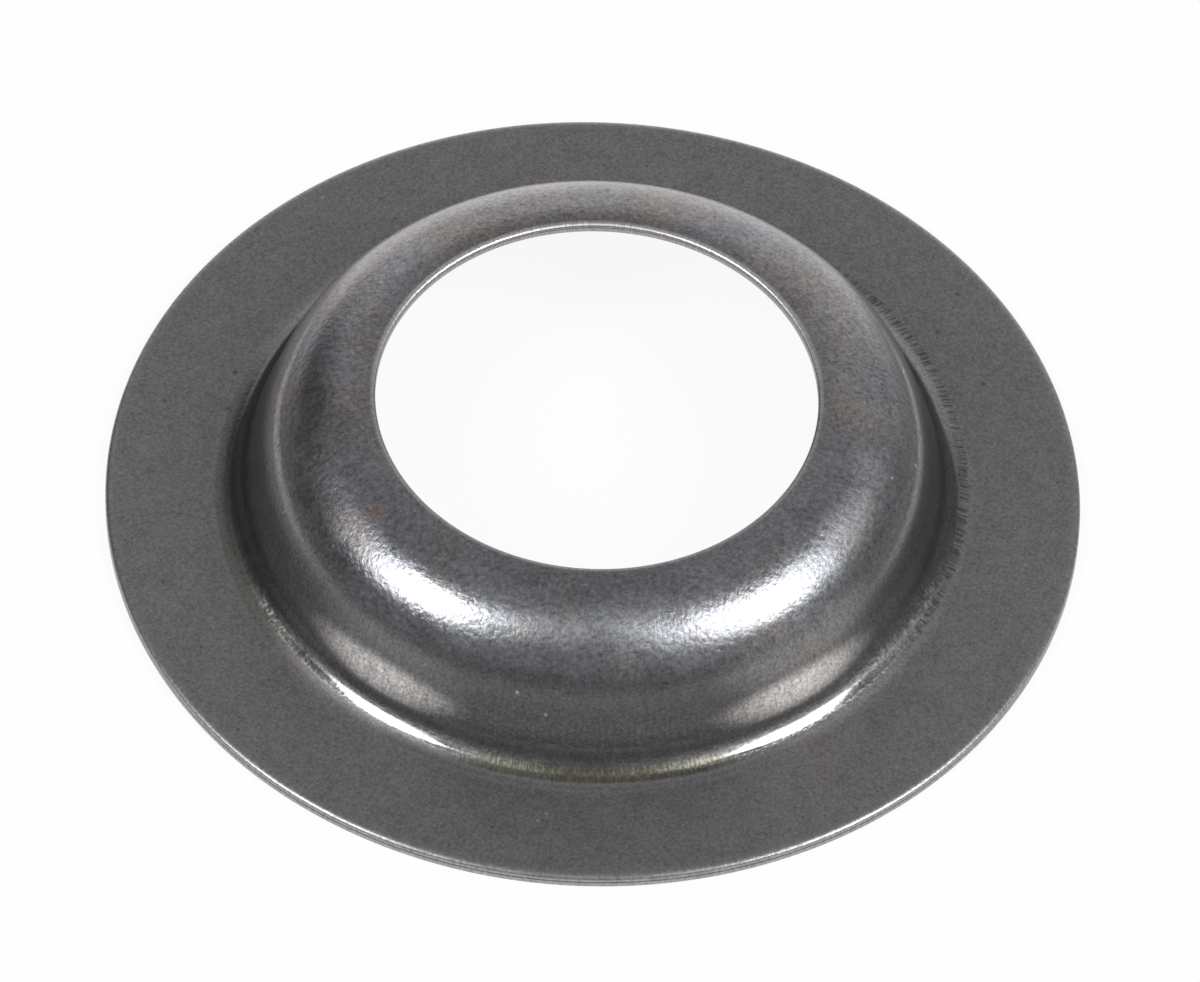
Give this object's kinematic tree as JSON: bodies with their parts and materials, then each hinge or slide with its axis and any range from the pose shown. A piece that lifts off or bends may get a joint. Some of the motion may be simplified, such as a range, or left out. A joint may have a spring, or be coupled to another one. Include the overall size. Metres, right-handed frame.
{
  "type": "spring washer",
  "caption": "Pressed steel spring washer: a flat round flange that seats a coil spring, with a raised round-shouldered cup and a large central hole.",
  "frame": {"origin": "on the washer's axis, in the plane of the flange's underside", "axes": "+Z along the axis of the hole, from the flange towards the crown; X and Y lie in the flange's plane and are alike"},
  "size_m": [0.06, 0.06, 0.01],
  "materials": {
    "pressed_steel": "dark satin pressed steel: matt on the flange, smoother on the drawn cup, bare and burnished at the cut edges"
  },
  "bodies": {
    "root": {"spring_washer": "pressed_steel"}
  },
  "joints": []
}
